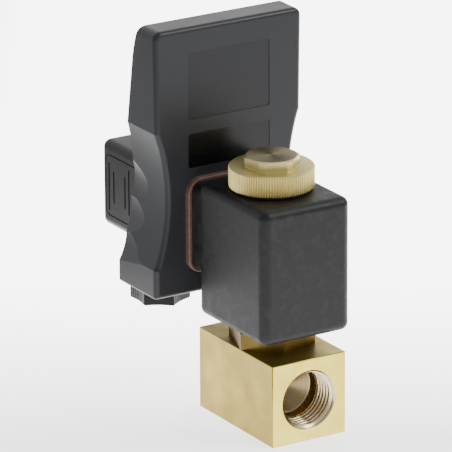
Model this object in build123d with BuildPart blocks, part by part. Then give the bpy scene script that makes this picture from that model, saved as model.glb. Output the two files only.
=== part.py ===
from build123d import *
import os
from math import asin, atan2, cos, pi, radians, sin, sqrt, tan

os.makedirs("parts", exist_ok=True)

# Automatic drain valve: a brass valve block with a solenoid coil on its stem, an electronic
# timer plugged on the coil and a cable plug on the timer. Millimetres, +Z up the stem,
# +X out of the outlet port, origin at the middle of the block's underside.

# ---------------------------------------------------------------- driving sizes
# Fits
running_gap = 0.07          # radial clearance of a piece that turns or slides in its bore
face_gap = 0.1              # between faces of pieces that move against each other

# Valve block with two G1/2 ports
block_length = 48.4
block_width = 30.0
block_height = 30.0
block_edge = 0.25
port_radius = 9.3155        # minor radius of the internal thread
port_mouth_radius = 10.9
port_depth = 14.0
port_height = 15.0
drill_half_angle = 59.0
passage_radius = 2.5
orifice_radius = 2.25
inlet_offset = 7.2          # of the vertical inlet passage from the stem axis
socket_radius = 8.6         # threaded socket for the stem
socket_depth = 5.2
seat_radius = 3.6
seat_height = 1.2
seal_groove_width = 1.6
seal_groove_depth = 1.5

# Stem: hexagon, tube, fixed core and stud
hex_flats = 27.0
hex_height = 6.9
hex_turn = -16.3            # degrees
spigot_length = 3.0
tube_radius = 7.0
tube_wall = 1.0
tube_length = 53.0          # above the underside of the spigot
core_length = 20.0
shoulder_height = 3.5
stud_radius = 5.0
stud_length = 12.0
ring_radius = 4.6           # copper shading ring
ring_width = 0.9
ring_depth = 1.4

# Plunger and its spring
plunger_length = 32.0
plunger_stroke = 1.5
seal_radius = 4.4
seal_thickness = 2.6
seal_proud = 0.8
spring_well_radius = 3.3
spring_well_depth = 10.0
spring_radius = 2.6
spring_wire = 0.35
spring_turns = 5

# Coil
coil_length = 43.35         # along X
coil_width = 36.0
coil_height = 48.9
coil_shift = 1.53           # of the case's middle from the stem axis, along X
coil_corner = 3.4
coil_edge = 3.0
coil_base_depth = 5.35      # connector base on the back of the case
coil_base_width = 33.8
coil_base_height = 32.5
connector_height = 67.0     # height of the axis through base, timer and plug
yoke_length = 33.0
yoke_width = 27.0
yoke_height = 42.0
yoke_strip = 2.5
bobbin_wall = 1.0
bobbin_flange_radius = 12.6
bobbin_flange = 1.2
winding_radius = 12.0

# Flat connector pins, one pattern for coil and timer
pin_width = 6.3
pin_thickness = 0.8
pin_spread = 9.0
pin_drop = 9.0
pin_reach = 9.0             # out of its base
pin_root = 6.0              # inside its base

# Knurled nut and its washer
nut_radius = 15.0
nut_height = 7.8
nut_teeth = 120
nut_tooth_depth = 0.35
nut_edge = 0.5
nut_flats = 17.0
nut_hex_height = 3.6
nut_hex_turn = 8.4
nut_hex_bevel = 1.2
nut_roof = 3.0
nut_pitch = 1.0
nut_washer_height = 0.6
nut_washer_radius = 13.9

# Flat gasket between coil and timer
gasket_thickness = 2.4
gasket_width = 36.2
gasket_height = 34.9
gasket_corner = 5.5
socket_side = 25.0          # square opening for the connector

# Timer housing
timer_bottom = 41.3
timer_top = 139.1
head_half_width = 30.1      # at the crown, drafted down to the waist
timer_half_width = 29.6
timer_corner = 3.0
waist_top = 102.0
waist_bottom = 53.4
waist_sag = 4.2             # how far the finger waist dips in
flare_half_width = 30.5     # widest, just under the waist
foot_half_width = 30.5
timer_edge = 1.7
foot_edge = 1.0
timer_foot_depth = 25.0     # front to back at the foot
timer_lean = 10.0           # degrees, the back leans forward above the foot
lean_start = 72.0
crown_start = 126.0
crown_depth = 10.9          # front to back at the top face
timer_wall = 2.5
scoop_count = 3
scoop_pitch = 12.8
scoop_top = 79.2            # middle of the highest finger scoop
scoop_chord = 12.4
scoop_depth = 0.85
scoop_reach = 9.5

socket_reach = 10.0         # how deep the connector socket goes into the timer

# Bare plates on the timer's front
plate_width = 33.3
plate_recess = 0.45
plate_thickness = 0.3
upper_plate_bottom = 105.5
upper_plate_top = 130.0
lower_plate_bottom = 87.8
lower_plate_top = 100.3

# Timer inside: cover, board, controls
cover_thickness = 2.5
cover_margin = 2.5          # wall left beside the cover
panel_height = 111.0        # height of the middle of the control panel
board_depth = 8.5           # board behind the panel face
board_thickness = 1.6
board_width = 40.0
board_height = 30.0
knob_spread = 14.0
knob_radius = 6.5
knob_height = 4.2
knob_flutes = 18
knob_shaft_radius = 3.0
pot_size = 10.0
pot_height = 3.2
button_radius = 3.5
button_proud = 2.0
button_flange = 0.8
button_drop = 9.0           # below the middle of the panel
button_travel = 1.2
switch_size = 7.0
switch_height = 3.0
switch_pin_radius = 1.6
led_radius = 1.5
led_spread = 4.5
led_rise = 9.0
led_proud = 0.6
capacitor_radius = 2.0
capacitor_length = 12.0
screw_radius = 1.5

# Pin base on the back of the timer and the cable plug
pin_base_width = 25.0
pin_base_height = 27.5
pin_base_face = 57.2        # distance of its face behind the stem axis
pin_base_depth = 8.0
plug_gasket_thickness = 1.2
plug_width = 29.0
plug_bottom = 48.6
plug_top = 80.9
plug_depth = 33.9
plug_edge = 3.0
plug_wall = 2.4
insert_depth = 14.0
insert_width = 23.0
insert_height = 22.0
groove_width = 0.8
groove_depth = 0.3
grip_grooves = [            # ahead of the plug's back, above its bottom, length
    (5.6, 6.6, 18.0),
    (8.9, 9.9, 12.0),
    (16.7, 10.2, 11.8),
    (19.5, 8.4, 17.0),
]
panel_margin = 3.0          # of the moulded line round the grooves
panel_line = 0.5
screw_sink = 3.4            # seat of the long screw's head below the plug's back
post_floor = 1.8            # of the post under that seat
gland_back = 16.4           # gland axis ahead of the plug's back face
gland_neck_radius = 7.6
gland_neck_length = 20.1
gland_bore_radius = 5.0
grommet_radius = 6.2
grommet_length = 9.0
cable_radius = 3.5
gland_nut_flats = 18.8
gland_nut_length = 22.2
gland_nut_wall = 5.2
gland_nose_radius = 9.6     # end face, its corners turned off
gland_nose_length = 1.0
gland_mouth_radius = 4.3
gland_pitch = 1.5
gland_washer_thickness = 1.0
screw_head_radius = 3.4
screw_head_height = 2.6
screw_grip = 6.0            # length held by the coil's insert

# ---------------------------------------------------------------- worked-out places
drill_cone = port_radius / tan(radians(drill_half_angle))
socket_floor = block_height - socket_depth
seat_top = socket_floor + seat_height
spigot_bottom = block_height - spigot_length
hex_top = block_height + hex_height
tube_bore = tube_radius - tube_wall
tube_top = spigot_bottom + tube_length
plunger_radius = tube_bore - running_gap
plunger_bottom = seat_top + seal_proud
plunger_top = plunger_bottom + plunger_length
core_bottom = plunger_top + plunger_stroke + face_gap
core_top = max(tube_top, core_bottom + ring_depth + 1)
shoulder_top = core_top + shoulder_height

coil_bottom = hex_top
coil_top = coil_bottom + coil_height
coil_bore = tube_radius + running_gap
coil_back = coil_shift - coil_length / 2
base_face = coil_back - coil_base_depth
yoke_bottom = coil_bottom + (coil_height - yoke_height) / 2
bobbin_bottom = yoke_bottom + yoke_strip
bobbin_top = yoke_bottom + yoke_height - yoke_strip

washer_bottom = coil_top + face_gap
nut_bottom = washer_bottom + nut_washer_height
nut_shoulder = nut_bottom + nut_height
nut_top = nut_shoulder + nut_hex_height
stud_top = nut_top - nut_roof

timer_front = base_face - gasket_thickness
timer_inside = timer_front - timer_wall
timer_back = timer_front - timer_foot_depth
lean = radians(timer_lean)
crown_back = timer_back + (crown_start - lean_start) * tan(lean)
waist_half = (waist_top - waist_bottom) / 2
waist_middle = (waist_top + waist_bottom) / 2
waist_radius = (waist_half**2 + waist_sag**2) / (2 * waist_sag)
waist_dip = timer_half_width - waist_sag
cover_half_width = timer_half_width - cover_margin
grip_half_width = waist_dip - scoop_depth - timer_wall
cover_top = timer_top - timer_wall - 2
cover_bottom = timer_bottom + timer_wall

pin_face = -pin_base_face
plug_front = pin_face - plug_gasket_thickness
plug_back = plug_front - plug_depth
gland_x = plug_back + gland_back
neck_bottom = plug_bottom - gland_neck_length
grommet_bottom = neck_bottom - face_gap
washer_seat = grommet_bottom - face_gap
gland_washer_bottom = washer_seat - gland_washer_thickness
gland_nut_bottom = gland_washer_bottom - gland_nut_wall
gland_nut_top = gland_nut_bottom + gland_nut_length

scoop_radius = (scoop_chord**2 / 4 + scoop_depth**2) / (2 * scoop_depth)
plate_spans = [(lower_plate_bottom, lower_plate_top), (upper_plate_bottom, upper_plate_top)]
plug_middle = (plug_top + plug_bottom) / 2

# The control panel is the leaning back of the timer, seen from behind
panel_x = timer_back + (panel_height - lean_start) * tan(lean)
panel = Plane(
    origin=(panel_x, 0, panel_height), x_dir=(0, -1, 0), z_dir=(-cos(lean), 0, sin(lean))
)
knob_places = [(-knob_spread, 0), (knob_spread, 0)]
button_place = (0, -button_drop)
led_places = [(-led_spread, led_rise), (led_spread, led_rise)]
cover_screw_places = [
    (-cover_half_width + 4, cover_top - 4),
    (cover_half_width - 4, cover_top - 4),
    (-grip_half_width + 4, cover_bottom + 4),
    (grip_half_width - 4, cover_bottom + 4),
]


def keep(piece, name):
    """Label a finished piece and write it as its own STEP file."""
    piece.part.label = name
    export_step(piece.part, f"parts/{name}.step")


def facing(x, height=connector_height):
    """A plane across X, seen from the coil's side: its x runs along Y, its y up."""
    return Plane(origin=(x, 0, height), x_dir=(0, 1, 0), z_dir=(1, 0, 0))


def pin_slots(extra=0.0, mode=Mode.ADD):
    """The flat-pin pattern in the current sketch: two line pins and one earth pin."""
    with Locations((-pin_spread, 0), (pin_spread, 0)):
        Rectangle(pin_thickness + extra, pin_width + extra, mode=mode)
    with Locations((0, -pin_drop)):
        Rectangle(pin_width + extra, pin_thickness + extra, mode=mode)


def back_at(height):
    """X of the timer's back at a height below the crown."""
    return timer_back + max(0.0, height - lean_start) * tan(lean)


def scoop_plane(side, height):
    """Across the axis of a finger scoop, which slants out of the flank towards the front."""
    bearing = asin((waist_middle - height) / waist_radius)
    reach = waist_radius - scoop_radius + scoop_depth
    slant = atan2(scoop_depth, scoop_reach)
    return Plane(
        origin=(
            back_at(height),
            side * (waist_dip + waist_radius - reach * cos(bearing)),
            waist_middle - reach * sin(bearing),
        ),
        x_dir=(0, 0, 1),
        z_dir=(cos(slant), side * sin(slant), 0),
    )


def cover_outline():
    """The opening in the timer's back: wide above, narrow beside the finger waist."""
    wide = cover_top - waist_top - timer_wall
    with Locations((0, cover_top - wide / 2 - connector_height)):
        Rectangle(2 * cover_half_width, wide)
    tall = cover_top - cover_bottom
    with Locations((0, cover_bottom + tall / 2 - connector_height)):
        Rectangle(2 * grip_half_width, tall)


# Side outline of the timer: flat front, leaning back and round crown
with BuildSketch(Plane.XZ) as timer_side:
    with BuildLine():
        Line((timer_front, timer_bottom), (timer_front, timer_top))
        Line((timer_front, timer_top), (timer_front - crown_depth, timer_top))
        TangentArc(
            (crown_back, crown_start),
            (timer_front - crown_depth, timer_top),
            tangent=(sin(lean), cos(lean)),
        )
        Line((crown_back, crown_start), (timer_back, lean_start))
        Line((timer_back, lean_start), (timer_back, timer_bottom))
        Line((timer_back, timer_bottom), (timer_front, timer_bottom))
    make_face()


# ---------------------------------------------------------------- valve
with BuildPart() as valve_block:
    with BuildSketch():
        Rectangle(block_length, block_width)
    extrude(amount=block_height)
    chamfer(valve_block.edges(), block_edge)
    # ports, cut as revolved drillings from both ends
    with BuildSketch(Plane.XZ) as port_shape:
        with BuildLine():
            mouth = port_mouth_radius - port_radius
            end = block_length / 2
            Polyline(
                (end, port_height),
                (end, port_height + port_mouth_radius),
                (end - mouth, port_height + port_radius),
                (end - port_depth, port_height + port_radius),
                (end - port_depth - drill_cone, port_height),
                close=True,
            )
        make_face()
        mirror(about=Plane.YZ)
    revolve(axis=Axis((0, 0, port_height), (1, 0, 0)), mode=Mode.SUBTRACT)
    # socket for the stem, with a raised seat in its floor
    with BuildSketch(Plane.XY.offset(block_height)):
        Circle(socket_radius)
    extrude(amount=-socket_depth, mode=Mode.SUBTRACT)
    with BuildSketch(Plane.XY.offset(block_height)):
        Circle(socket_radius + seal_groove_width)
    extrude(amount=-seal_groove_depth, mode=Mode.SUBTRACT)
    with BuildSketch(Plane.XY.offset(socket_floor)):
        Circle(seat_radius)
    extrude(amount=seat_height)
    # outlet through the seat, inlet beside it
    with BuildSketch(Plane.XY.offset(seat_top)):
        Circle(orifice_radius)
    extrude(amount=port_height - passage_radius - seat_top, mode=Mode.SUBTRACT)
    with BuildSketch(Plane(origin=(0, 0, port_height), z_dir=(1, 0, 0))):
        Circle(passage_radius)
    extrude(amount=block_length / 2 - port_depth, mode=Mode.SUBTRACT)
    with BuildSketch(Plane.XY.offset(socket_floor)):
        with Locations((-inlet_offset, 0)):
            Circle(orifice_radius - 0.5)
    extrude(amount=port_height - socket_floor, mode=Mode.SUBTRACT)
keep(valve_block, "valve_block")

with BuildPart() as stem_base:
    with BuildSketch(Plane.XY.offset(block_height)):
        RegularPolygon(hex_flats / 2, 6, major_radius=False, rotation=hex_turn)
    extrude(amount=hex_height)
    # corners turned off at the top face
    with BuildSketch(Plane.XZ):
        with BuildLine():
            corner = hex_flats / sqrt(3)
            lift = (corner - hex_flats / 2) * tan(radians(30))
            Polyline(
                (0, block_height),
                (corner, block_height),
                (corner, hex_top - lift),
                (hex_flats / 2, hex_top),
                (0, hex_top),
                close=True,
            )
        make_face()
    revolve(axis=Axis.Z, mode=Mode.INTERSECT)
    with BuildSketch(Plane.XY.offset(spigot_bottom)):
        Circle(socket_radius)
    extrude(amount=spigot_length)
    with BuildSketch(Plane.XY.offset(spigot_bottom)):
        Circle(tube_radius)
    extrude(amount=hex_top - spigot_bottom, mode=Mode.SUBTRACT)
keep(stem_base, "stem_base")

with BuildPart() as stem_seal:
    with BuildSketch(Plane.XZ):
        with Locations((socket_radius + seal_groove_width / 2, block_height - seal_groove_depth / 2)):
            Circle(min(seal_groove_width, seal_groove_depth) / 2 - 0.03)
    revolve(axis=Axis.Z)
keep(stem_seal, "stem_seal")

with BuildPart() as armature_tube:
    with BuildSketch(Plane.XY.offset(spigot_bottom)):
        Circle(tube_radius)
        Circle(tube_bore, mode=Mode.SUBTRACT)
    extrude(amount=core_top - spigot_bottom)
keep(armature_tube, "armature_tube")

with BuildPart() as fixed_core:
    with BuildSketch(Plane.XZ):
        with BuildLine():
            Polyline(
                (0, core_bottom),
                (ring_radius - ring_width, core_bottom),
                (ring_radius - ring_width, core_bottom + ring_depth),
                (ring_radius, core_bottom + ring_depth),
                (ring_radius, core_bottom),
                (tube_bore, core_bottom),
                (tube_bore, core_top),
                (tube_radius, core_top),
                (tube_radius, shoulder_top),
                (stud_radius, shoulder_top),
                (stud_radius, stud_top - 0.6),
                (stud_radius - 0.6, stud_top),
                (0, stud_top),
                close=True,
            )
        make_face()
    revolve(axis=Axis.Z)
keep(fixed_core, "fixed_core")

with BuildPart() as shading_ring:
    with BuildSketch(Plane.XY.offset(core_bottom)):
        Circle(ring_radius)
        Circle(ring_radius - ring_width, mode=Mode.SUBTRACT)
    extrude(amount=ring_depth)
keep(shading_ring, "shading_ring")

with BuildPart() as plunger:
    with BuildSketch(Plane.XY.offset(plunger_bottom)):
        Circle(plunger_radius)
    extrude(amount=plunger_length)
    with BuildSketch(Plane.XY.offset(plunger_bottom)):
        Circle(seal_radius)
    extrude(amount=seal_thickness - seal_proud, mode=Mode.SUBTRACT)
    with BuildSketch(Plane.XY.offset(plunger_top)):
        Circle(spring_well_radius)
    extrude(amount=-spring_well_depth, mode=Mode.SUBTRACT)
    # two flats let the fluid pass
    with BuildSketch(Plane.XY.offset(plunger_bottom)):
        with Locations((plunger_radius, 0), (-plunger_radius, 0)):
            Rectangle(1.2, 2 * plunger_radius)
    extrude(amount=plunger_length, mode=Mode.SUBTRACT)
keep(plunger, "plunger")

with BuildPart() as plunger_seal:
    with BuildSketch(Plane.XY.offset(seat_top)):
        Circle(seal_radius)
    extrude(amount=seal_thickness)
keep(plunger_seal, "plunger_seal")

spring_floor = plunger_top - spring_well_depth + spring_wire + 0.02
spring_roof = core_bottom - spring_wire - 0.02
with BuildPart() as plunger_spring:
    with BuildLine():
        Helix(
            pitch=(spring_roof - spring_floor) / spring_turns,
            height=spring_roof - spring_floor,
            radius=spring_radius,
            center=(0, 0, spring_floor),
        )
    with BuildSketch(Plane(origin=(spring_radius, 0, spring_floor), z_dir=(0, 1, 0))):
        RegularPolygon(spring_wire, 6)
    sweep(is_frenet=True)
keep(plunger_spring, "plunger_spring")

# ---------------------------------------------------------------- coil
with BuildPart() as coil_case:
    with BuildSketch(Plane.XY.offset(coil_bottom)):
        with Locations((coil_shift, 0)):
            RectangleRounded(coil_length, coil_width, coil_corner)
    extrude(amount=coil_height)
    fillet(coil_case.faces().sort_by(Axis.Z)[0].edges(), coil_edge)
    fillet(coil_case.faces().sort_by(Axis.Z)[-1].edges(), coil_edge)
    with BuildSketch(facing(base_face)):
        RectangleRounded(coil_base_width, coil_base_height, coil_corner)
    extrude(amount=coil_base_depth + (coil_length - yoke_length) / 4)
    with BuildSketch(Plane.XY.offset(yoke_bottom)):
        Rectangle(yoke_length, yoke_width)
    extrude(amount=yoke_height, mode=Mode.SUBTRACT)
    with BuildSketch(Plane.XY.offset(coil_bottom)):
        Circle(coil_bore)
    extrude(amount=coil_height, mode=Mode.SUBTRACT)
    with BuildSketch(facing(base_face)):
        pin_slots()
    extrude(amount=pin_root, mode=Mode.SUBTRACT)
    with BuildSketch(facing(base_face)):
        Circle(screw_radius + 1.2)
    extrude(amount=screw_grip, mode=Mode.SUBTRACT)
keep(coil_case, "coil_case")

with BuildPart() as coil_yoke:
    with BuildSketch(Plane.XZ):
        with Locations((0, yoke_bottom + yoke_height / 2)):
            Rectangle(yoke_length, yoke_height)
            Rectangle(yoke_length - 2 * yoke_strip, yoke_height - 2 * yoke_strip, mode=Mode.SUBTRACT)
    extrude(amount=yoke_width / 2, both=True)
    with BuildSketch(Plane.XY.offset(yoke_bottom)):
        Circle(coil_bore)
    extrude(amount=yoke_height, mode=Mode.SUBTRACT)
keep(coil_yoke, "coil_yoke")

with BuildPart() as coil_bobbin:
    with BuildSketch(Plane.XY.offset(bobbin_bottom)):
        Circle(bobbin_flange_radius)
    extrude(amount=bobbin_top - bobbin_bottom)
    with BuildSketch(Plane.XY.offset(bobbin_bottom + bobbin_flange)):
        Circle(bobbin_flange_radius)
        Circle(coil_bore + bobbin_wall, mode=Mode.SUBTRACT)
    extrude(amount=bobbin_top - bobbin_bottom - 2 * bobbin_flange, mode=Mode.SUBTRACT)
    with BuildSketch(Plane.XY.offset(bobbin_bottom)):
        Circle(coil_bore)
    extrude(amount=bobbin_top - bobbin_bottom, mode=Mode.SUBTRACT)
keep(coil_bobbin, "coil_bobbin")

with BuildPart() as coil_winding:
    with BuildSketch(Plane.XY.offset(bobbin_bottom + bobbin_flange)):
        Circle(winding_radius)
        Circle(coil_bore + bobbin_wall, mode=Mode.SUBTRACT)
    extrude(amount=bobbin_top - bobbin_bottom - 2 * bobbin_flange)
keep(coil_winding, "coil_winding")

with BuildPart() as coil_pins:
    with BuildSketch(facing(base_face + pin_root)):
        pin_slots()
    extrude(amount=-(pin_root + pin_reach))
keep(coil_pins, "coil_pins")

with BuildPart() as coil_screw_insert:
    with BuildSketch(facing(base_face)):
        Circle(screw_radius + 1.2)
        Circle(screw_radius, mode=Mode.SUBTRACT)
    extrude(amount=screw_grip)
keep(coil_screw_insert, "coil_screw_insert")

with BuildPart() as interface_gasket:
    with BuildSketch(facing(timer_front)):
        RectangleRounded(gasket_width, gasket_height, gasket_corner)
        Rectangle(socket_side, socket_side, mode=Mode.SUBTRACT)
    extrude(amount=gasket_thickness)
    fillet(interface_gasket.edges().group_by(Axis.X)[-1].sort_by(Edge.length)[-4:], 0.5)
keep(interface_gasket, "interface_gasket")

with BuildPart() as nut_washer:
    with BuildSketch(Plane.XY.offset(washer_bottom)):
        Circle(nut_washer_radius)
        Circle(stud_radius + 2.5, mode=Mode.SUBTRACT)
    extrude(amount=nut_washer_height)
keep(nut_washer, "nut_washer")

with BuildPart() as knurled_nut:
    # straight knurl: a ring of pointed teeth
    with BuildSketch(Plane.XY.offset(nut_bottom)):
        with BuildLine():
            step = 2 * pi / nut_teeth
            outline = []
            for tooth in range(nut_teeth):
                tip = tooth * step
                root = tip + step / 2
                outline.append((nut_radius * cos(tip), nut_radius * sin(tip)))
                depth = nut_radius - nut_tooth_depth
                outline.append((depth * cos(root), depth * sin(root)))
            Polyline(outline, close=True)
        make_face()
    extrude(amount=nut_height)
    # both rims turned to a bevel
    with BuildSketch(Plane.XZ):
        with BuildLine():
            Polyline(
                (0, nut_bottom),
                (nut_radius - nut_edge, nut_bottom),
                (nut_radius, nut_bottom + nut_edge),
                (nut_radius, nut_shoulder - nut_edge),
                (nut_radius - nut_edge, nut_shoulder),
                (0, nut_shoulder),
                close=True,
            )
        make_face()
    revolve(axis=Axis.Z, mode=Mode.INTERSECT)
    with BuildSketch(Plane.XY.offset(nut_shoulder)):
        RegularPolygon(nut_flats / 2, 6, major_radius=False, rotation=nut_hex_turn)
    extrude(amount=nut_hex_height)
    # hexagon corners turned off at the top
    with BuildSketch(Plane.XZ):
        with BuildLine():
            nut_corner = nut_flats / sqrt(3)
            drop = nut_hex_bevel * tan(radians(30))
            Polyline(
                (nut_corner - nut_hex_bevel, nut_top),
                (nut_corner, nut_top - drop),
                (nut_corner + 1, nut_top - drop),
                (nut_corner + 1, nut_top),
                close=True,
            )
        make_face()
    revolve(axis=Axis.Z, mode=Mode.SUBTRACT)
    with BuildSketch(Plane.XY.offset(nut_bottom)):
        Circle(stud_radius + running_gap)
    extrude(amount=stud_top - nut_bottom + face_gap, mode=Mode.SUBTRACT)
keep(knurled_nut, "knurled_nut")

# ---------------------------------------------------------------- timer
with BuildPart() as timer_housing:
    extrude(timer_side.sketch, amount=flare_half_width + 5, both=True)
    # front outline: straight above, waisted for the fingers, flared above the foot
    with BuildSketch(facing(timer_front, 0)):
        with BuildLine():
            Line((0, timer_top), (head_half_width, timer_top))
            Line((head_half_width, timer_top), (timer_half_width, waist_top))
            ThreePointArc(
                (timer_half_width, waist_top),
                (waist_dip, waist_middle),
                (timer_half_width, waist_bottom),
            )
            Line((timer_half_width, waist_bottom), (flare_half_width, waist_bottom - 1.2))
            Line((flare_half_width, waist_bottom - 1.2), (foot_half_width, timer_bottom))
            Line((foot_half_width, timer_bottom), (0, timer_bottom))
            Line((0, timer_bottom), (0, timer_top))
        make_face()
        mirror(about=Plane.YZ)
    extrude(amount=-(timer_foot_depth + 5), mode=Mode.INTERSECT)
    top_edges = timer_housing.edges().filter_by(Axis.X).group_by(Axis.Z)[-1]
    fillet(top_edges, timer_corner)
    fillet(timer_housing.faces().sort_by(Axis.X)[-1].edges(), timer_edge)
    sole = timer_housing.faces().sort_by(Axis.Z)[0].edges()
    fillet(sole.filter_by(Axis.X) + sole.sort_by(Axis.X)[:1], foot_edge)
    # finger scoops: long cylinders that run out forward along each flank
    for row in range(scoop_count):
        for side in (-1, 1):
            with BuildSketch(scoop_plane(side, scoop_top - row * scoop_pitch)):
                Circle(scoop_radius)
            extrude(amount=3 * scoop_reach, both=True, mode=Mode.SUBTRACT)
    # hollow from the back, seats for the plates, opening for the connector
    with BuildSketch(facing(timer_inside)):
        cover_outline()
    extrude(amount=-timer_foot_depth, mode=Mode.SUBTRACT)
    for low, high in plate_spans:
        with BuildSketch(facing(timer_front, (low + high) / 2)):
            RectangleRounded(plate_width, high - low, 1)
        extrude(amount=-plate_recess, mode=Mode.SUBTRACT)
    with BuildSketch(facing(timer_front)):
        Rectangle(socket_side, socket_side)
    extrude(amount=-timer_wall, mode=Mode.SUBTRACT)
keep(timer_housing, "timer_housing")

for (low, high), name in zip(plate_spans, ("front_plate_lower", "front_plate_upper")):
    with BuildPart() as plate:
        with BuildSketch(facing(timer_front - plate_recess, (low + high) / 2)):
            RectangleRounded(plate_width, high - low, 1)
        extrude(amount=plate_thickness)
    keep(plate, name)

with BuildPart() as socket_insert:
    with BuildSketch(facing(timer_front)):
        Rectangle(socket_side, socket_side)
        pin_slots(extra=0.1, mode=Mode.SUBTRACT)
        Circle(screw_radius, mode=Mode.SUBTRACT)
    extrude(amount=-socket_reach)
keep(socket_insert, "socket_insert")

with BuildPart() as timer_rear_cover:
    extrude(timer_side.sketch, amount=cover_half_width, both=True)
    extrude(
        timer_side.sketch.moved(Location((cover_thickness, 0, 0))),
        amount=cover_half_width,
        both=True,
        mode=Mode.SUBTRACT,
    )
    with BuildSketch(facing(timer_inside)):
        cover_outline()
    extrude(amount=-timer_foot_depth, mode=Mode.INTERSECT)
    # holes for the knobs, the button and the lamps, square to the panel
    with BuildSketch(panel):
        with Locations(*knob_places):
            Circle(knob_shaft_radius + running_gap)
        with Locations(button_place):
            Circle(button_radius + running_gap)
        with Locations(*led_places):
            Circle(led_radius)
    extrude(amount=-2 * cover_thickness, mode=Mode.SUBTRACT)
    with BuildSketch(facing(pin_face)):
        Rectangle(pin_base_width, pin_base_height)
    extrude(amount=timer_foot_depth, mode=Mode.SUBTRACT)
    with BuildSketch(facing(timer_back - 5, 0)):
        with Locations(*cover_screw_places):
            Circle(screw_radius)
    extrude(amount=timer_foot_depth, mode=Mode.SUBTRACT)
keep(timer_rear_cover, "timer_rear_cover")

# Screws of the cover, their heads flush with it
with BuildPart() as cover_screws:
    for across, height in cover_screw_places:
        with BuildSketch(facing(back_at(height) + screw_radius * tan(lean), height)):
            with Locations((across, 0)):
                Circle(screw_radius)
        extrude(amount=cover_thickness + 2)
keep(cover_screws, "cover_screws")

# ---------------------------------------------------------------- board and controls
board = panel.offset(-board_depth)
behind_cover = panel.offset(-cover_thickness - face_gap - button_flange)
with BuildPart() as circuit_board:
    with BuildSketch(board):
        Rectangle(board_width, board_height)
    extrude(amount=-board_thickness)
keep(circuit_board, "circuit_board")

with BuildPart() as potentiometers:
    with BuildSketch(board):
        with Locations(*knob_places):
            Rectangle(pot_size, pot_size)
            Circle(knob_shaft_radius + running_gap, mode=Mode.SUBTRACT)
    extrude(amount=pot_height)
keep(potentiometers, "potentiometers")

with BuildPart() as test_switch:
    with BuildSketch(board):
        with Locations(button_place):
            Rectangle(switch_size, switch_size)
            Circle(switch_pin_radius + running_gap, mode=Mode.SUBTRACT)
    extrude(amount=switch_height)
keep(test_switch, "test_switch")

with BuildPart() as status_leds:
    with BuildSketch(board):
        with Locations(*led_places):
            Circle(led_radius)
    extrude(amount=board_depth + led_proud)
    domes = status_leds.faces().sort_by(Axis(panel.origin, panel.z_dir))[-2:]
    fillet(domes.edges(), led_proud)
keep(status_leds, "status_leds")

with BuildPart() as capacitor:
    lying = Plane(
        origin=board.origin - board.z_dir * (board_thickness + capacitor_radius),
        x_dir=(0, 0, 1),
        z_dir=(0, 1, 0),
    )
    with BuildSketch(lying):
        Circle(capacitor_radius)
    extrude(amount=capacitor_length / 2, both=True)
keep(capacitor, "capacitor")

for place, name in zip(knob_places, ("on_time_knob", "off_time_knob")):
    knob_seat = Plane(panel * Pos(place[0], place[1], face_gap))
    with BuildPart() as knob:
        # fluted cap, slightly tapered, with a slot that points to the scale
        with BuildSketch(knob_seat):
            Circle(knob_radius)
            with PolarLocations(knob_radius + 0.35, knob_flutes):
                Circle(0.6, mode=Mode.SUBTRACT)
        extrude(amount=knob_height, taper=4)
        with BuildSketch(knob_seat.offset(knob_height)):
            Rectangle(1.4, 1.7 * knob_radius)
        extrude(amount=-1.2, mode=Mode.SUBTRACT)
        with BuildSketch(knob_seat):
            Circle(knob_shaft_radius)
        extrude(amount=-board_depth)
    keep(knob, name)

with BuildPart() as test_button:
    with BuildSketch(behind_cover):
        with Locations(button_place):
            Circle(button_radius)
    extrude(amount=button_flange + face_gap + cover_thickness + button_proud)
    fillet(test_button.faces().sort_by(Axis(panel.origin, panel.z_dir))[-1].edges(), 0.6)
    with BuildSketch(behind_cover):
        with Locations(button_place):
            Circle(button_radius + 0.8)
    extrude(amount=button_flange)
    # pin that works the switch
    with BuildSketch(behind_cover):
        with Locations(button_place):
            Circle(switch_pin_radius)
    extrude(
        amount=cover_thickness + face_gap + button_flange + button_travel + face_gap - board_depth
    )
keep(test_button, "test_button")

# ---------------------------------------------------------------- cable plug
with BuildPart() as rear_pin_base:
    with BuildSketch(facing(pin_face)):
        Rectangle(pin_base_width, pin_base_height)
        Circle(screw_radius, mode=Mode.SUBTRACT)
    extrude(amount=pin_base_depth)
    with BuildSketch(facing(pin_face)):
        pin_slots()
    extrude(amount=pin_root, mode=Mode.SUBTRACT)
keep(rear_pin_base, "rear_pin_base")

with BuildPart() as rear_pins:
    with BuildSketch(facing(pin_face + pin_root)):
        pin_slots()
    extrude(amount=-(pin_root + pin_reach))
keep(rear_pins, "rear_pins")

with BuildPart() as plug_gasket:
    with BuildSketch(facing(pin_face)):
        Rectangle(pin_base_width, pin_base_height)
        pin_slots(extra=0.1, mode=Mode.SUBTRACT)
        Circle(screw_radius, mode=Mode.SUBTRACT)
    extrude(amount=-plug_gasket_thickness)
keep(plug_gasket, "plug_gasket")

with BuildPart() as terminal_insert:
    with BuildSketch(facing(plug_front)):
        RectangleRounded(insert_width, insert_height, 1.5)
        pin_slots(extra=0.1, mode=Mode.SUBTRACT)
        Circle(screw_radius, mode=Mode.SUBTRACT)
    extrude(amount=-insert_depth)
keep(terminal_insert, "terminal_insert")

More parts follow.
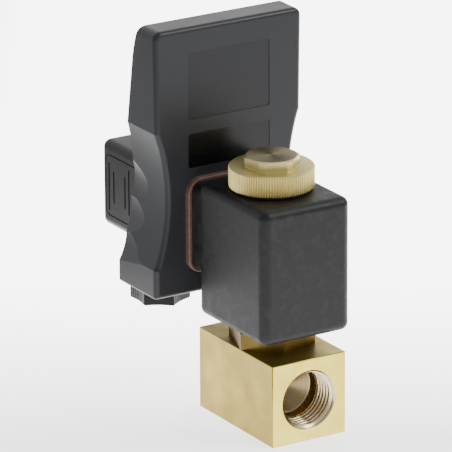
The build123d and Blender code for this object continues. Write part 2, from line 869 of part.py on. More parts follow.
with BuildPart() as plug_housing:
    with BuildSketch(facing(plug_front, plug_middle)):
        RectangleRounded(plug_width, plug_top - plug_bottom, plug_edge)
    extrude(amount=-plug_depth)
    fillet(plug_housing.faces().sort_by(Axis.X)[0].edges(), plug_edge)
    # neck for the gland nut
    with BuildSketch(Plane.XY.offset(plug_bottom + plug_wall)):
        with Locations((gland_x, 0)):
            Circle(gland_neck_radius)
    extrude(amount=-(gland_neck_length + plug_wall))
    # hollow for the insert, then the way for the cable
    with BuildSketch(facing(plug_front, plug_middle)):
        Rectangle(plug_width - 2 * plug_wall, plug_top - plug_bottom - 2 * plug_wall)
    extrude(amount=plug_wall - plug_depth, mode=Mode.SUBTRACT)
    for bore, depth in (
        (gland_bore_radius, gland_neck_length + 2 * plug_wall),
        (grommet_radius, grommet_length),
    ):
        with BuildSketch(Plane.XY.offset(neck_bottom)):
            with Locations((gland_x, 0)):
                Circle(bore)
        extrude(amount=depth, mode=Mode.SUBTRACT)
    # post round the long screw, with a sunk seat for its head
    with BuildSketch(facing(plug_back + screw_sink - post_floor)):
        Circle(screw_head_radius + 1.4)
    extrude(amount=plug_depth - insert_depth - screw_sink + post_floor)
    with BuildSketch(facing(plug_back)):
        Circle(screw_head_radius + 0.2)
    extrude(amount=screw_sink, mode=Mode.SUBTRACT)
    with BuildSketch(facing(plug_back)):
        Circle(screw_radius)
    extrude(amount=plug_depth - insert_depth, mode=Mode.SUBTRACT)
    # shallow grip grooves on both cheeks, inside a moulded line
    for side in (-1, 1):
        cheek = Plane(origin=(plug_back, side * plug_width / 2, 0), x_dir=(1, 0, 0), z_dir=(0, side, 0))
        with BuildSketch(cheek):
            for ahead, above, length in grip_grooves:
                with Locations((ahead, -side * (plug_bottom + above + length / 2))):
                    Rectangle(groove_width, length)
        with BuildSketch(cheek):
            with Locations((plug_depth / 2, -side * plug_middle)):
                across = plug_depth - 2 * panel_margin
                tall = plug_top - plug_bottom - 2 * panel_margin - plug_edge
                RectangleRounded(across, tall, plug_edge)
                RectangleRounded(
                    across - 2 * panel_line, tall - 2 * panel_line, plug_edge - panel_line, mode=Mode.SUBTRACT
                )
        extrude(amount=-groove_depth, mode=Mode.SUBTRACT)
keep(plug_housing, "plug_housing")

with BuildPart() as centre_screw:
    with BuildSketch(facing(plug_back + screw_sink)):
        Circle(screw_head_radius)
    extrude(amount=-screw_head_height)
    with BuildSketch(facing(plug_back + screw_sink - screw_head_height)):
        Rectangle(1, 3 * screw_head_radius)
    extrude(amount=1.2, mode=Mode.SUBTRACT)
    with BuildSketch(facing(plug_back + screw_sink)):
        Circle(screw_radius)
    extrude(amount=base_face + screw_grip - plug_back - screw_sink)
keep(centre_screw, "centre_screw")

with BuildPart() as gland_grommet:
    with BuildSketch(Plane.XY.offset(grommet_bottom)):
        with Locations((gland_x, 0)):
            Circle(grommet_radius)
            Circle(cable_radius, mode=Mode.SUBTRACT)
    extrude(amount=grommet_length + face_gap)
keep(gland_grommet, "gland_grommet")

with BuildPart() as gland_washer:
    with BuildSketch(Plane.XY.offset(gland_washer_bottom)):
        with Locations((gland_x, 0)):
            Circle(gland_neck_radius - 0.3)
            Circle(gland_mouth_radius, mode=Mode.SUBTRACT)
    extrude(amount=gland_washer_thickness)
keep(gland_washer, "gland_washer")

gland_axis = Axis((gland_x, 0, 0), (0, 0, 1))
with BuildPart() as gland_nut:
    with BuildSketch(Plane.XY.offset(gland_nut_bottom)):
        with Locations((gland_x, 0)):
            RegularPolygon(gland_nut_flats / 2, 6, major_radius=False)
    extrude(amount=gland_nut_length)
    # corners turned off at both ends, bored for neck and washer
    with BuildSketch(Plane.XZ):
        with BuildLine():
            corner = gland_nut_flats / sqrt(3)
            bore = gland_neck_radius + running_gap
            Polyline(
                (gland_x + gland_mouth_radius, gland_nut_bottom),
                (gland_x + gland_nose_radius, gland_nut_bottom),
                (gland_x + corner, gland_nut_bottom + gland_nose_length),
                (gland_x + corner, gland_nut_top - 0.8),
                (gland_x + corner - 1.4, gland_nut_top),
                (gland_x + bore, gland_nut_top),
                (gland_x + bore, gland_washer_bottom),
                (gland_x + gland_mouth_radius, gland_washer_bottom),
                close=True,
            )
        make_face()
    revolve(axis=gland_axis, mode=Mode.INTERSECT)
keep(gland_nut, "gland_nut")
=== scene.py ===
from math import cos, pi, radians, sin, sqrt, tan

import bmesh
import bpy
from mathutils import Matrix, Vector


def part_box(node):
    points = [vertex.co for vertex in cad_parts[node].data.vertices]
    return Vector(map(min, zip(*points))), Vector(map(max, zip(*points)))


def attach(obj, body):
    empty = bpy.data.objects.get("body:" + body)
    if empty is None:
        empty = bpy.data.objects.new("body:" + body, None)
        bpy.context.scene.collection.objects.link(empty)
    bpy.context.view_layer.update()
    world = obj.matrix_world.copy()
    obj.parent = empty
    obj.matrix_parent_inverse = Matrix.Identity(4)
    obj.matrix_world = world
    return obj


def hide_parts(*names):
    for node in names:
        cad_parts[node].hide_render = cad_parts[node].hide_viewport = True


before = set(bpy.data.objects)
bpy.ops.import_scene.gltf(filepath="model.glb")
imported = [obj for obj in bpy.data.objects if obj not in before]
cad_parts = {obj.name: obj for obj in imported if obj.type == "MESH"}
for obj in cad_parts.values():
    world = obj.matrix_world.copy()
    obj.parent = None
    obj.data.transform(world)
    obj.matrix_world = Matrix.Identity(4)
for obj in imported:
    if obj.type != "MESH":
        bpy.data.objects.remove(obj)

MM = 0.001
CLOUD_LOW, CLOUD_HIGH = 0.3, 0.7     # most of a noise lies between these
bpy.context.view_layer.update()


# ------------------------------------------------------------------ materials
def linear(code):
    """An sRGB hex colour as linear RGBA."""
    values = []
    for place in (0, 2, 4):
        part = int(code[place:place + 2], 16) / 255
        values.append(part / 12.92 if part <= 0.04045 else ((part + 0.055) / 1.055) ** 2.4)
    return (*values, 1.0)


def add(material, kind, links=None, **settings):
    """Adds a node, sets its properties and socket values, and links its inputs."""
    tree = material.node_tree
    node = tree.nodes.new(kind)
    for name, value in settings.items():
        socket = name.replace("_", " ")
        if socket in node.inputs:
            node.inputs[socket].default_value = value
        else:
            setattr(node, name, value)
    for name, source in (links or {}).items():
        tree.links.new(source.outputs[0], node.inputs[name])
    return node


def new_material(name, color, roughness, metallic=0.0, **shader):
    """A material with its shader, and the object's own coordinates in metres."""
    material = bpy.data.materials.new(name)
    material.use_nodes = True
    bsdf = material.node_tree.nodes["Principled BSDF"]
    bsdf.inputs["Base Color"].default_value = linear(color)
    bsdf.inputs["Roughness"].default_value = roughness
    bsdf.inputs["Metallic"].default_value = metallic
    for socket, value in shader.items():
        bsdf.inputs[socket.replace("_", " ")].default_value = value
    place = add(material, "ShaderNodeMapping")
    own = add(material, "ShaderNodeTexCoord")
    material.node_tree.links.new(own.outputs["Object"], place.inputs["Vector"])
    return material, bsdf, place


def wire(material, bsdf, **inputs):
    """Links nodes into the shader's sockets."""
    for name, source in inputs.items():
        material.node_tree.links.new(source.outputs[0], bsdf.inputs[name.replace("_", " ")])


BRASS_ROUGHNESS = 0.4
BRASS_SPREAD = 0.06         # how far the roughness wanders
DEEP_SHADE_TO = 9.8 * MM         # painted shade lies in the ports up to here, from the middle of the block
DEEP_SHADE_FADE = 1 * MM


def bar_brass(name, dark, middle_tone, light):
    # leaded brass bar: satin olive-yellow with cloudy handling marks and the fine lay of the tool
    material, bsdf, place = new_material(name, middle_tone, BRASS_ROUGHNESS, 1.0)
    clouds = add(material, "ShaderNodeTexNoise", {"Vector": place}, Scale=1 / (9 * MM), Detail=4)
    cover = add(
        material, "ShaderNodeMapRange", {"Value": clouds}, From_Min=CLOUD_LOW, From_Max=CLOUD_HIGH
    )
    shade = add(
        material, "ShaderNodeMixRGB", {"Fac": cover}, Color1=linear(dark), Color2=linear(light)
    )
    satin = add(
        material, "ShaderNodeMapRange", {"Value": clouds},
        From_Min=CLOUD_LOW, From_Max=CLOUD_HIGH,
        To_Min=BRASS_ROUGHNESS + BRASS_SPREAD, To_Max=BRASS_ROUGHNESS - BRASS_SPREAD,
    )
    # the lay is drawn coarser than life so that it shows
    along = add(material, "ShaderNodeMapping", {"Vector": place}, Scale=(1, 1, 0.02))
    lay = add(material, "ShaderNodeTexNoise", {"Vector": along}, Scale=1 / (0.3 * MM), Detail=2)
    relief = add(material, "ShaderNodeBump", {"Height": lay}, Strength=0.5, Distance=0.006 * MM)
    wire(material, bsdf, Base_Color=shade, Roughness=satin, Normal=relief)
    return material


def turned_brass(name, dark, middle_tone, light):
    # lathe-turned brass: fine rings round the nut's axis stretch the highlight into a bow-tie
    material, bsdf, place = new_material(name, middle_tone, 0.42, 1.0, Anisotropic=0.55)
    spokes = add(material, "ShaderNodeTangent", direction_type="RADIAL", axis="Z")
    clouds = add(material, "ShaderNodeTexNoise", {"Vector": place}, Scale=1 / (5 * MM), Detail=3)
    shade = add(
        material, "ShaderNodeMixRGB", {"Fac": clouds}, Color1=linear(dark), Color2=linear(light)
    )
    wire(material, bsdf, Base_Color=shade, Tangent=spokes)
    return material


def knurled_brass():
    # straight-rolled knurl: its crests paler than the turned brass as a painted highlight; its
    # grooves get a darker brass of their own as painted shade
    material, bsdf, place = new_material("knurled_brass", "EEDC90", 0.48, 1.0)
    clouds = add(material, "ShaderNodeTexNoise", {"Vector": place}, Scale=1 / (4 * MM), Detail=3)
    shade = add(
        material, "ShaderNodeMixRGB", {"Fac": clouds},
        Color1=linear("E6D080"), Color2=linear("F6E8A0"),
    )
    wire(material, bsdf, Base_Color=shade)
    return material


def port_brass():
    # tapped and drilled hole: paler and smoother than the outside, darkened deep inside by painted
    # shade, with the drill's rings round its axis
    material, bsdf, place = new_material("port_brass", "DCCBA0", 0.26, 1.0, Anisotropic=0.6)
    round_axis = add(material, "ShaderNodeTangent", direction_type="RADIAL", axis="X")
    across = add(material, "ShaderNodeMapping", {"Vector": place}, Scale=(1, 0.02, 0.02))
    rings = add(material, "ShaderNodeTexNoise", {"Vector": across}, Scale=1 / (0.35 * MM), Detail=2)
    shade = add(
        material, "ShaderNodeMixRGB", {"Fac": rings},
        Color1=linear("C8B486"), Color2=linear("EEE2C2"),
    )
    axes = add(material, "ShaderNodeSeparateXYZ", {"Vector": place})
    length = add(material, "ShaderNodeMath", {0: axes}, operation="ABSOLUTE")
    deep_shade = add(
        material, "ShaderNodeMapRange", {"Value": length},
        From_Min=DEEP_SHADE_TO, From_Max=DEEP_SHADE_TO + DEEP_SHADE_FADE, To_Min=0.75, To_Max=0.1,
    )
    # dark brown painted shade deep in the port
    shaded_bore = add(
        material, "ShaderNodeMixRGB", {"Fac": deep_shade, "Color1": shade}, Color2=linear("6B5228")
    )
    relief = add(material, "ShaderNodeBump", {"Height": rings}, Strength=0.5, Distance=0.01 * MM)
    wire(material, bsdf, Base_Color=shaded_bore, Normal=relief, Tangent=round_axis)
    return material


def coil_epoxy():
    # matte black moulding compound, faintly mottled and pitted, with pale scuffs from handling
    material, bsdf, place = new_material("coil_epoxy", "1A1A1B", 0.5, Specular_IOR_Level=0.3)
    speckle = add(material, "ShaderNodeTexNoise", {"Vector": place}, Scale=1 / (0.9 * MM), Detail=4)
    patches = add(material, "ShaderNodeTexNoise", {"Vector": place}, Scale=1 / (3.5 * MM), Detail=5)
    scuffed = add(
        material, "ShaderNodeMapRange", {"Value": patches},
        From_Min=0.48, From_Max=0.75, To_Min=0.0, To_Max=0.28,
    )
    ground = add(
        material, "ShaderNodeMixRGB", {"Fac": speckle},
        Color1=linear("080809"), Color2=linear("1C1C1E"),
    )
    shade = add(
        material, "ShaderNodeMixRGB", {"Fac": scuffed, "Color1": ground}, Color2=linear("444446")
    )
    satin = add(
        material, "ShaderNodeMapRange", {"Value": patches},
        From_Min=CLOUD_LOW, From_Max=CLOUD_HIGH, To_Min=0.42, To_Max=0.58,
    )
    relief = add(material, "ShaderNodeBump", {"Height": speckle}, Strength=0.6, Distance=0.02 * MM)
    wire(material, bsdf, Base_Color=shade, Roughness=satin, Normal=relief)
    return material


def moulded_nylon(name, color, roughness, gloss=0.3, grain_mm=0.35, relief_mm=0.006):
    # injection-moulded black nylon with the fine spark-eroded grain of its mould
    material, bsdf, place = new_material(name, color, roughness, Specular_IOR_Level=gloss)
    grain = add(
        material, "ShaderNodeTexNoise", {"Vector": place}, Scale=1 / (grain_mm * MM), Detail=3
    )
    sweep = add(material, "ShaderNodeTexNoise", {"Vector": place}, Scale=1 / (18 * MM), Detail=2)
    satin = add(
        material, "ShaderNodeMapRange", {"Value": sweep},
        From_Min=CLOUD_LOW, From_Max=CLOUD_HIGH, To_Min=roughness - 0.04, To_Max=roughness + 0.05,
    )
    relief = add(
        material, "ShaderNodeBump", {"Height": grain}, Strength=0.5, Distance=relief_mm * MM
    )
    wire(material, bsdf, Roughness=satin, Normal=relief)
    return material


def silicone():
    # red-brown silicone rubber: a soft sheen, faintly mottled by dust
    material, bsdf, place = new_material("red_silicone", "6A4A40", 0.5)
    mottling = add(
        material, "ShaderNodeTexNoise", {"Vector": place}, Scale=1 / (1.5 * MM), Detail=3
    )
    shade = add(
        material, "ShaderNodeMixRGB", {"Fac": mottling},
        Color1=linear("523830"), Color2=linear("745449"),
    )
    relief = add(material, "ShaderNodeBump", {"Height": mottling}, Strength=0.5, Distance=0.01 * MM)
    wire(material, bsdf, Base_Color=shade, Normal=relief)
    return material


def black_rubber():
    # dull black nitrile rubber, with a faint moulding skin
    material, bsdf, place = new_material("black_rubber", "151515", 0.6)
    skin = add(material, "ShaderNodeTexNoise", {"Vector": place}, Scale=1 / (0.3 * MM), Detail=2)
    relief = add(material, "ShaderNodeBump", {"Height": skin}, Strength=0.6, Distance=0.01 * MM)
    wire(material, bsdf, Normal=relief)
    return material


def bright_steel():
    # zinc-plated and stainless steel: cool grey, unevenly bright
    material, bsdf, place = new_material("bright_steel", "C4C4C6", 0.28, 1.0)
    clouds = add(material, "ShaderNodeTexNoise", {"Vector": place}, Scale=1 / (2 * MM), Detail=3)
    satin = add(
        material, "ShaderNodeMapRange", {"Value": clouds},
        From_Min=CLOUD_LOW, From_Max=CLOUD_HIGH, To_Min=0.22, To_Max=0.36,
    )
    wire(material, bsdf, Roughness=satin)
    return material


def copper_wire():
    # enamelled copper wire: one layer of 0.3 mm turns shows
    material, bsdf, place = new_material("copper_wire", "B4673A", 0.3, 0.9)
    along = add(material, "ShaderNodeMapping", {"Vector": place}, Scale=(0.01, 0.01, 1))
    turns = add(material, "ShaderNodeTexNoise", {"Vector": along}, Scale=1 / (0.3 * MM), Detail=1)
    relief = add(material, "ShaderNodeBump", {"Height": turns}, Strength=0.8, Distance=0.05 * MM)
    wire(material, bsdf, Normal=relief)
    return material


def coloured_moulding(name, color, roughness=0.4):
    # small thermoplastic mouldings in their own colours, with a light mould grain
    material, bsdf, place = new_material(name, color, roughness)
    grain = add(material, "ShaderNodeTexNoise", {"Vector": place}, Scale=1 / (0.4 * MM), Detail=2)
    relief = add(material, "ShaderNodeBump", {"Height": grain}, Strength=0.5, Distance=0.006 * MM)
    wire(material, bsdf, Normal=relief)
    return material


def solder_mask():
    # glossy green solder mask, lighter where copper lies under it
    material, bsdf, place = new_material("solder_mask", "0E4A26", 0.25)
    copper_areas = add(
        material, "ShaderNodeTexNoise", {"Vector": place}, Scale=1 / (2 * MM), Detail=2
    )
    shade = add(
        material, "ShaderNodeMixRGB", {"Fac": copper_areas},
        Color1=linear("0B3D1F"), Color2=linear("15572F"),
    )
    wire(material, bsdf, Base_Color=shade)
    return material


# lit, half-lit and shaded copies of one brass: painted light and shade on the block's end faces, top
# and bottom, and sides; the shaded copy also serves the coil's screw insert
lit_brass = bar_brass("lit_brass", "E0CA58", "E6D05E", "EEDA6C")
half_lit_brass = bar_brass("half_lit_brass", "B29E54", "BCA85E", "C6B268")
shaded_brass = bar_brass("shaded_brass", "9E8A40", "A48F44", "AA964A")
turned = turned_brass("turned_brass", "C8B87C", "D4C68C", "E0D49A")
# a darker, greyer copy of the turned brass for the nut's crown: painted shade
shaded_top = turned_brass("shaded_top_brass", "A29878", "B0A684", "BEB492")
# a dark brown brass for the stem base: painted shade from the coil over it
shadowed_brass = bar_brass("shadowed_brass", "5A4A26", "68562E", "766436")
# a darker copy of the brass for the knurl's grooves: painted shade
groove_shade_brass = bar_brass("groove_shade_brass", "9C8A54", "A8965E", "B4A268")
lit_knurl = knurled_brass()
port = port_brass()
epoxy = coil_epoxy()
housing_nylon = moulded_nylon("housing_nylon", "2A2B2E", 0.36)
plug_nylon = moulded_nylon("plug_nylon", "18181A", 0.42, grain_mm=0.5)
gland_nylon = moulded_nylon("gland_nylon", "0B0B0C", 0.5, gloss=0.15, grain_mm=0.6, relief_mm=0.01)
satin_nylon = moulded_nylon("satin_nylon", "1C1D20", 0.4, gloss=0.35, grain_mm=0.2, relief_mm=0.003)
gloss_nylon = moulded_nylon("gloss_nylon", "0A0A0B", 0.26, gloss=0.35, grain_mm=0.8, relief_mm=0.002)
insert_nylon = moulded_nylon("insert_nylon", "1B1B1D", 0.45)
red_silicone = silicone()
rubber = black_rubber()
steel = bright_steel()
copper = copper_wire()
natural_nylon = coloured_moulding("natural_nylon", "CFC9B8")
blue_resin = coloured_moulding("blue_resin", "1F4C8C")
black_resin = coloured_moulding("black_resin", "161616")
knob_acetal = coloured_moulding("knob_acetal", "9A9C9E", 0.42)
button_acetal = coloured_moulding("button_acetal", "A8AAAC", 0.42)
lamp_epoxy = coloured_moulding("lamp_epoxy", "C8281C", 0.12)
mask = solder_mask()

FINISHES = {
    shaded_brass: ["valve_block", "coil_screw_insert"],
    shadowed_brass: ["stem_base"],
    turned: ["knurled_nut"],
    epoxy: ["coil_case"],
    housing_nylon: ["timer_housing", "timer_rear_cover"],
    plug_nylon: ["plug_housing"],
    gland_nylon: ["gland_nut", "gland_washer"],
    satin_nylon: ["front_plate_upper"],
    gloss_nylon: ["front_plate_lower"],
    insert_nylon: ["socket_insert", "rear_pin_base", "terminal_insert"],
    red_silicone: ["interface_gasket"],
    rubber: ["nut_washer", "plug_gasket", "gland_grommet", "stem_seal", "plunger_seal"],
    steel: [
        "armature_tube", "fixed_core", "plunger", "plunger_spring", "coil_yoke",
        "coil_pins", "rear_pins", "cover_screws", "centre_screw",
    ],
    copper: ["shading_ring", "coil_winding"],
    natural_nylon: ["coil_bobbin"],
    blue_resin: ["potentiometers"],
    black_resin: ["test_switch", "capacitor"],
    knob_acetal: ["on_time_knob", "off_time_knob"],
    button_acetal: ["test_button"],
    lamp_epoxy: ["status_leds"],
    mask: ["circuit_board"],
}
for finish, names in FINISHES.items():
    for name in names:
        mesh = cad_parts[name].data
        mesh.materials.clear()
        mesh.materials.append(finish)


# ------------------------------------------------------------------ making pieces
WELD = 0.001 * MM
SAME_WAY = 0.9                  # a normal with this much along an axis faces along it


def into_scene(name, data):
    """An object of that name and data, in the scene."""
    piece = bpy.data.objects.new(name, data)
    bpy.context.collection.objects.link(piece)
    return piece


def box_of(node):
    """Lowest and highest corner of a node's box."""
    low, high = (Vector(corner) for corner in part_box(node))
    return low, high


def ring_shell(name, rings, closed_ends=True):
    """A mesh through rings of equal vertex counts, from the first ring to the last."""
    count = len(rings[0])
    corners = [corner for ring in rings for corner in ring]
    faces = []
    for row in range(len(rings) - 1):
        for step in range(count):
            after = (step + 1) % count
            faces.append((
                row * count + step, row * count + after,
                (row + 1) * count + after, (row + 1) * count + step,
            ))
    if closed_ends:
        faces.append(tuple(reversed(range(count))))
        faces.append(tuple(range(len(corners) - count, len(corners))))
    mesh = bpy.data.meshes.new(name)
    mesh.from_pydata(corners, [], faces)
    return mesh


def weld(piece):
    """Joins a mesh's split corners so that it is one closed skin."""
    shape = bmesh.new()
    shape.from_mesh(piece.data)
    bmesh.ops.remove_doubles(shape, verts=shape.verts, dist=WELD)
    shape.to_mesh(piece.data)
    shape.free()
    if "custom_normal" in piece.data.attributes:
        piece.data.attributes.remove(piece.data.attributes["custom_normal"])


def smooth(mesh, sharp_from):
    """Smooth shading, with edges kept sharp from that many degrees."""
    mesh.shade_smooth()
    mesh.set_sharp_from_angle(angle=radians(sharp_from))


# ------------------------------------------------------------------ valve block with cut threads
THREAD_PITCH = 1.814 * MM       # G1/2, with both radii
THREAD_MAJOR = 10.48 * MM
THREAD_MINOR = 9.36 * MM
THREAD_DEPTH = 10.6 * MM        # with the lead outside the face
THREAD_LEAD = 0.6 * MM
THREAD_ROWS = 12                # mesh rows in one pitch
THREAD_SIDES = 96
ROOT_SHARE = 0.14               # of half a pitch, level at the root and at the crest
FLANK_SHARE = 0.72
MOUTH_RADIUS = 10.9 * MM
MOUTH_SLOPE = 0.9
BLOCK_SHARP = 38                # degrees


def thread_tap(side):
    """The room a G1/2 thread takes in the block: a helical groove with a mouth bevel in front."""
    low, high = box_of("valve_block")
    centre = (low + high) / 2
    half = high.x - centre.x
    rings = []
    steps = int(THREAD_DEPTH / THREAD_PITCH * THREAD_ROWS)
    for row in range(steps + 1):
        depth = THREAD_DEPTH * row / steps - THREAD_LEAD
        run_out = min(1.0, (THREAD_DEPTH - THREAD_LEAD - depth) / THREAD_PITCH)
        ring = []
        for step in range(THREAD_SIDES):
            angle = 2 * pi * step / THREAD_SIDES
            turn = (depth / THREAD_PITCH - side * angle / (2 * pi)) % 1.0
            flank = min(1.0, max(0.0, (1 - abs(2 * turn - 1) - ROOT_SHARE) / FLANK_SHARE))
            rounded = flank * flank * (3 - 2 * flank)
            radius = THREAD_MINOR + (THREAD_MAJOR - THREAD_MINOR) * rounded * run_out
            radius = max(radius, MOUTH_RADIUS - max(depth, -THREAD_LEAD) * MOUTH_SLOPE)
            ring.append((
                centre.x + side * (half - depth),
                centre.y + radius * cos(angle),
                centre.z + radius * sin(angle),
            ))
        rings.append(ring if side < 0 else ring[::-1])
    return ring_shell("thread_tap", rings)


def build_valve_block():
    """The block with both ports tapped; its end faces, top and bottom, and sides get lit, half-lit
    and shaded copies of one brass: painted light and shade.
    """
    block = into_scene("tapped_block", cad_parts["valve_block"].data.copy())
    taps = []
    for side in (1, -1):
        tap = into_scene("tap", thread_tap(side))
        cut = block.modifiers.new("tap", "BOOLEAN")
        cut.operation = "DIFFERENCE"
        cut.solver = "EXACT"
        cut.object = tap
        taps.append(tap)
    weld(block)
    depsgraph = bpy.context.evaluated_depsgraph_get()
    mesh = bpy.data.meshes.new_from_object(block.evaluated_get(depsgraph))
    block.modifiers.clear()
    block.data = mesh
    for tap in taps:
        bpy.data.objects.remove(tap)
    mesh.materials.clear()
    finishes = [shaded_brass, lit_brass, port, half_lit_brass]
    for finish in finishes:
        mesh.materials.append(finish)
    low, high = box_of("valve_block")
    centre = (low + high) / 2
    # each face of the block takes the brass copy for how light falls on it: painted light and shade
    for face in mesh.polygons:
        off = Vector(face.center) - centre
        if sqrt(off.y ** 2 + off.z ** 2) < MOUTH_RADIUS:
            face.material_index = finishes.index(port)
        elif abs(face.normal.x) > SAME_WAY:
            face.material_index = finishes.index(lit_brass)
        elif abs(face.normal.z) > SAME_WAY:
            face.material_index = finishes.index(half_lit_brass)
    smooth(mesh, BLOCK_SHARP)
    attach(block, "valve")
    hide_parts("valve_block")


build_valve_block()


# ------------------------------------------------------------------ knurled nut
HEX_HEIGHT = 3.6 * MM
HEX_FLATS = 18.0 * MM
HEX_CORNER = 9.78 * MM          # corners turned off on the bar
HEX_TURN = 8.4                  # degrees
HEX_FILLET = 0.3 * MM
CROWN_BEVEL = 22                # degrees
CROWN_IN = 0.05 * MM            # from the flats
TEETH = 102
TOOTH_STEPS = 6
TOOTH_DEPTH = 0.32 * MM
TOOTH_STEEPNESS = 1.35          # above 1 leaves a level groove bottom
KNURL_ROWS = (3, 4, 5)          # rows of the shell that the knurl lies on
DISC_BEVEL = 0.6 * MM
STUD_RADIUS = 5.0 * MM
STUD_GAP = 0.07 * MM
ROOF = 2.8 * MM                 # brass left over the blind bore
CENTRE_RING = 0.15 * MM         # closes the crown
NUT_SHARP = 14                  # degrees


def build_knurled_nut():
    """Straight-knurled disc with a turned-down hexagon on it."""
    low, high = box_of("knurled_nut")
    centre = (low + high) / 2
    radius = (high.x - low.x) / 2
    shoulder = high.z - HEX_HEIGHT
    crown = HEX_FLATS / 2 - CROWN_IN
    count = TEETH * TOOTH_STEPS

    def knurl(angle):
        wave = abs(((angle * TEETH / (2 * pi)) % 1.0) * 2 - 1)
        return radius - TOOTH_DEPTH * min(1.0, TOOTH_STEEPNESS * wave)

    def hexagon(angle):
        off = (angle - radians(HEX_TURN) + pi / 6) % (pi / 3) - pi / 6
        return min(HEX_FLATS / 2 / cos(pi / 6 - abs(off)), HEX_CORNER)

    def bevel_foot(angle):
        drop = max(0.1 * MM, (hexagon(angle) - crown) * tan(radians(CROWN_BEVEL)))
        return high.z - drop - 0.04 * MM

    def ring(profile):
        corners = []
        for step in range(count):
            angle = 2 * pi * step / count
            out, height = profile(angle)
            corners.append((centre.x + out * cos(angle), centre.y + out * sin(angle), height))
        return corners

    rings = [
        # blind bore and underside
        ring(lambda a: (STUD_RADIUS + STUD_GAP, high.z - ROOF)),
        ring(lambda a: (STUD_RADIUS + STUD_GAP, low.z)),
        ring(lambda a: (radius - DISC_BEVEL, low.z)),
        # knurled rim, with its ends broken
        ring(lambda a: (knurl(a) - 0.12 * MM, low.z + 0.35 * MM)),
        ring(lambda a: (knurl(a), low.z + DISC_BEVEL)),
        ring(lambda a: (knurl(a), shoulder - 0.55 * MM)),
        ring(lambda a: (knurl(a) - 0.1 * MM, shoulder - 0.3 * MM)),
        # shoulder
        ring(lambda a: (radius - 0.45 * MM, shoulder - 0.04 * MM)),
        ring(lambda a: (radius - DISC_BEVEL, shoulder)),
        # hexagon with a small fillet at its foot and a turned crown
        ring(lambda a: (hexagon(a) + HEX_FILLET, shoulder)),
        ring(lambda a: (hexagon(a) + 0.08 * MM, shoulder + 0.08 * MM)),
        ring(lambda a: (hexagon(a), shoulder + HEX_FILLET)),
        ring(lambda a: (hexagon(a), bevel_foot(a))),
        ring(lambda a: (min(hexagon(a), crown) - 0.1 * MM, high.z)),
        ring(lambda a: (CENTRE_RING, high.z)),
    ]
    mesh = ring_shell("turned_nut", rings)
    finishes = [lit_knurl, turned, shaded_top, groove_shade_brass]
    for finish in finishes:
        mesh.materials.append(finish)
    for face in mesh.polygons:
        row, step = divmod(face.index, count)
        look = turned
        if row in KNURL_ROWS:
            # groove faces take the darker brass as painted shade, the crests the paler one as
            # painted highlight
            look = groove_shade_brass if step % TOOTH_STEPS in (0, TOOTH_STEPS - 1) else lit_knurl
        elif row >= len(rings) - 2:
            # the crown takes the darker copy: painted shade
            look = shaded_top
        face.material_index = finishes.index(look)
    smooth(mesh, NUT_SHARP)
    nut = into_scene("turned_nut", mesh)
    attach(nut, "knurled_nut")
    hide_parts("knurled_nut")


build_knurled_nut()


# ------------------------------------------------------------------ cable gland nut
GLAND_TURN = -3.8               # degrees
GLAND_STEPS = 576
GLAND_MOUTH = 4.3 * MM
GLAND_BORE = 7.9 * MM
CORNER_OFF = 0.02 * MM
FLAT_HOLLOW = 0.5 * MM
RIB_DEPTH = 0.12 * MM
RIBS = 8                        # on half a flat
GLAND_SHARP = 32                # degrees


def build_gland_nut():
    """Moulded hexagon nut with hollowed, ribbed flats."""
    low, high = box_of("gland_nut")
    centre = (low + high) / 2
    corner = (high.x - low.x) / 2
    flat = (high.y - low.y) / 2
    washer_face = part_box("gland_washer")[0][2]

    def outline(angle):
        off = (angle - radians(GLAND_TURN)) % (pi / 3) - pi / 6
        hollow = FLAT_HOLLOW * (1 - (off / (pi / 6)) ** 2)
        rib = RIB_DEPTH * (0.5 - 0.5 * cos(off / (pi / 6) * RIBS * pi))
        return min(flat / cos(off), corner - CORNER_OFF) - hollow - rib

    def ring(height, inset=None, bore=None):
        corners = []
        for step in range(GLAND_STEPS):
            angle = 2 * pi * step / GLAND_STEPS
            out = outline(angle) - inset if bore is None else bore
            corners.append((centre.x + out * cos(angle), centre.y + out * sin(angle), height))
        return corners

    rings = [
        ring(low.z, bore=GLAND_MOUTH),
        ring(low.z, 0.7 * MM),
        ring(low.z + 0.2 * MM, 0.2 * MM),
        ring(low.z + 0.7 * MM, 0.0),
        ring(high.z - 0.9 * MM, 0.0),
        ring(high.z - 0.2 * MM, 0.4 * MM),
        ring(high.z, 0.9 * MM),
        ring(high.z, bore=GLAND_BORE),
        ring(washer_face, bore=GLAND_BORE),
        ring(washer_face, bore=GLAND_MOUTH),
    ]
    mesh = ring_shell("ribbed_gland_nut", rings + rings[:1], closed_ends=False)
    mesh.materials.append(gland_nylon)
    nut = into_scene("ribbed_gland_nut", mesh)
    weld(nut)
    smooth(mesh, GLAND_SHARP)
    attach(nut, "gland_nut")
    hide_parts("gland_nut")


build_gland_nut()


# ------------------------------------------------------------------ stage
STAGE_TURN = -58.4              # degrees: tent and lit band run straight away from the eye
TENT_FRONT = 0.55
TENT_BACK = 1.8
TENT_FULL_AT = 0.9              # share of a direction that points straight away
FLOOR_HALF = 3.0                # metres from here on
LIT_HALF = 0.105
LIT_LEFT_FADE = 0.06
LIT_RIGHT_FADE = 0.42
LIT_NEAR_END = (-0.4, -0.1)
LIT_RISE = (-0.02, 0.15)
LIT_STRENGTH = 2.1
LIT_FAR = 6.0
KEY_WATTS = 6.0
KEY_SIZE = 0.5
KEY_PLACE = (0.55, 0.55, 0.8)
KEY_AIM = (0, 0, 0.06)


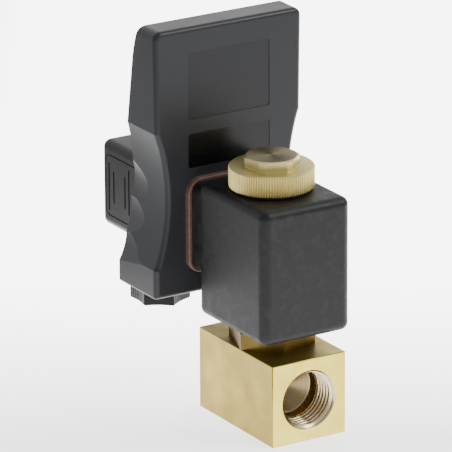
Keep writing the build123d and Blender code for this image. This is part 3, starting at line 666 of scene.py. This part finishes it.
def light_tent():
    """A world that is soft in front and brighter behind."""
    world = bpy.data.worlds.new("tent")
    bpy.context.scene.world = world
    world.use_nodes = True
    sky = world.node_tree.nodes["Background"]
    way = add(world, "ShaderNodeTexCoord")
    turned_way = add(world, "ShaderNodeMapping", Rotation=(0, 0, radians(STAGE_TURN)))
    world.node_tree.links.new(way.outputs["Generated"], turned_way.inputs["Vector"])
    parts = add(world, "ShaderNodeSeparateXYZ", {"Vector": turned_way})
    behind = add(
        world, "ShaderNodeMapRange",
        From_Min=0.0, From_Max=TENT_FULL_AT, To_Min=TENT_FRONT, To_Max=TENT_BACK,
    )
    world.node_tree.links.new(parts.outputs["Y"], behind.inputs["Value"])
    world.node_tree.links.new(behind.outputs["Result"], sky.inputs["Strength"])
    sky.inputs["Color"].default_value = (1, 1, 1, 1)


def light_table():
    """White translucent sheet, lit from below along a band that runs away behind the valve."""
    mesh = bpy.data.meshes.new("floor")
    half = FLOOR_HALF
    mesh.from_pydata(
        [(-half, -half, 0), (half, -half, 0), (half, half, 0), (-half, half, 0)], [], [(0, 1, 2, 3)]
    )
    floor = into_scene("floor", mesh)
    white, bsdf, place = new_material("white_floor", "F4F4F4", 0.7)
    bsdf.inputs["Emission Color"].default_value = (1, 1, 1, 1)
    aside = add(
        white, "ShaderNodeMapping", {"Vector": place}, Rotation=(0, 0, radians(STAGE_TURN))
    )
    across = add(white, "ShaderNodeSeparateXYZ", {"Vector": aside})
    left = add(
        white, "ShaderNodeMapRange", {"Value": across},
        From_Min=-LIT_HALF - LIT_LEFT_FADE, From_Max=-LIT_HALF, To_Min=0.0, To_Max=1.0,
    )
    right = add(
        white, "ShaderNodeMapRange", {"Value": across},
        From_Min=LIT_HALF, From_Max=LIT_HALF + LIT_RIGHT_FADE, To_Min=1.0, To_Max=0.0,
    )
    near = add(
        white, "ShaderNodeMapRange",
        From_Min=LIT_NEAR_END[0], From_Max=LIT_NEAR_END[1], To_Min=0.0, To_Max=1.0,
    )
    rise = add(
        white, "ShaderNodeMapRange",
        From_Min=LIT_RISE[0], From_Max=LIT_RISE[1], To_Min=LIT_STRENGTH, To_Max=LIT_FAR,
    )
    for ramp in (near, rise):
        white.node_tree.links.new(across.outputs["Y"], ramp.inputs["Value"])
    band = add(white, "ShaderNodeMath", {0: left, 1: right}, operation="MULTIPLY")
    lit = add(white, "ShaderNodeMath", {0: band, 1: near}, operation="MULTIPLY")
    glow = add(white, "ShaderNodeMath", {0: lit, 1: rise}, operation="MULTIPLY")
    wire(white, bsdf, Emission_Strength=glow)
    mesh.materials.append(white)


def key_light():
    """One broad, weak key from above on the right."""
    key = bpy.data.lights.new("key", "AREA")
    key.shape = "DISK"
    key.size = KEY_SIZE
    key.energy = KEY_WATTS
    lamp = into_scene("key", key)
    lamp.location = KEY_PLACE
    lamp.rotation_euler = (Vector(KEY_AIM) - lamp.location).to_track_quat("-Z", "Y").to_euler()


# ------------------------------------------------------------------ camera
AZIMUTH = 58.43                 # degrees
ELEVATION = 19.18
ROLL = -0.27
DISTANCE = 1.8449
AIM = (-0.027298, -0.001843, 0.064068)
SENSOR_MM = 36
LENS_MM = 418.0
FAR_CLIP = 20


def add_camera():
    """A long lens from a little above, looking on a port, the coil and the timer."""
    azimuth = radians(AZIMUTH)
    elevation = radians(ELEVATION)
    back = Vector((
        sin(azimuth) * cos(elevation),
        -cos(azimuth) * cos(elevation),
        sin(elevation),
    ))
    data = bpy.data.cameras.new("camera")
    data.sensor_width = SENSOR_MM
    data.lens = LENS_MM
    data.clip_end = FAR_CLIP
    camera = into_scene("camera", data)
    camera.location = Vector(AIM) + back * DISTANCE
    turn = (-back).to_track_quat("-Z", "Y").to_matrix().to_4x4()
    turn = turn @ Matrix.Rotation(radians(ROLL), 4, "Z")
    camera.matrix_world = Matrix.Translation(camera.location) @ turn
    bpy.context.scene.camera = camera


light_tent()
light_table()
key_light()
add_camera()
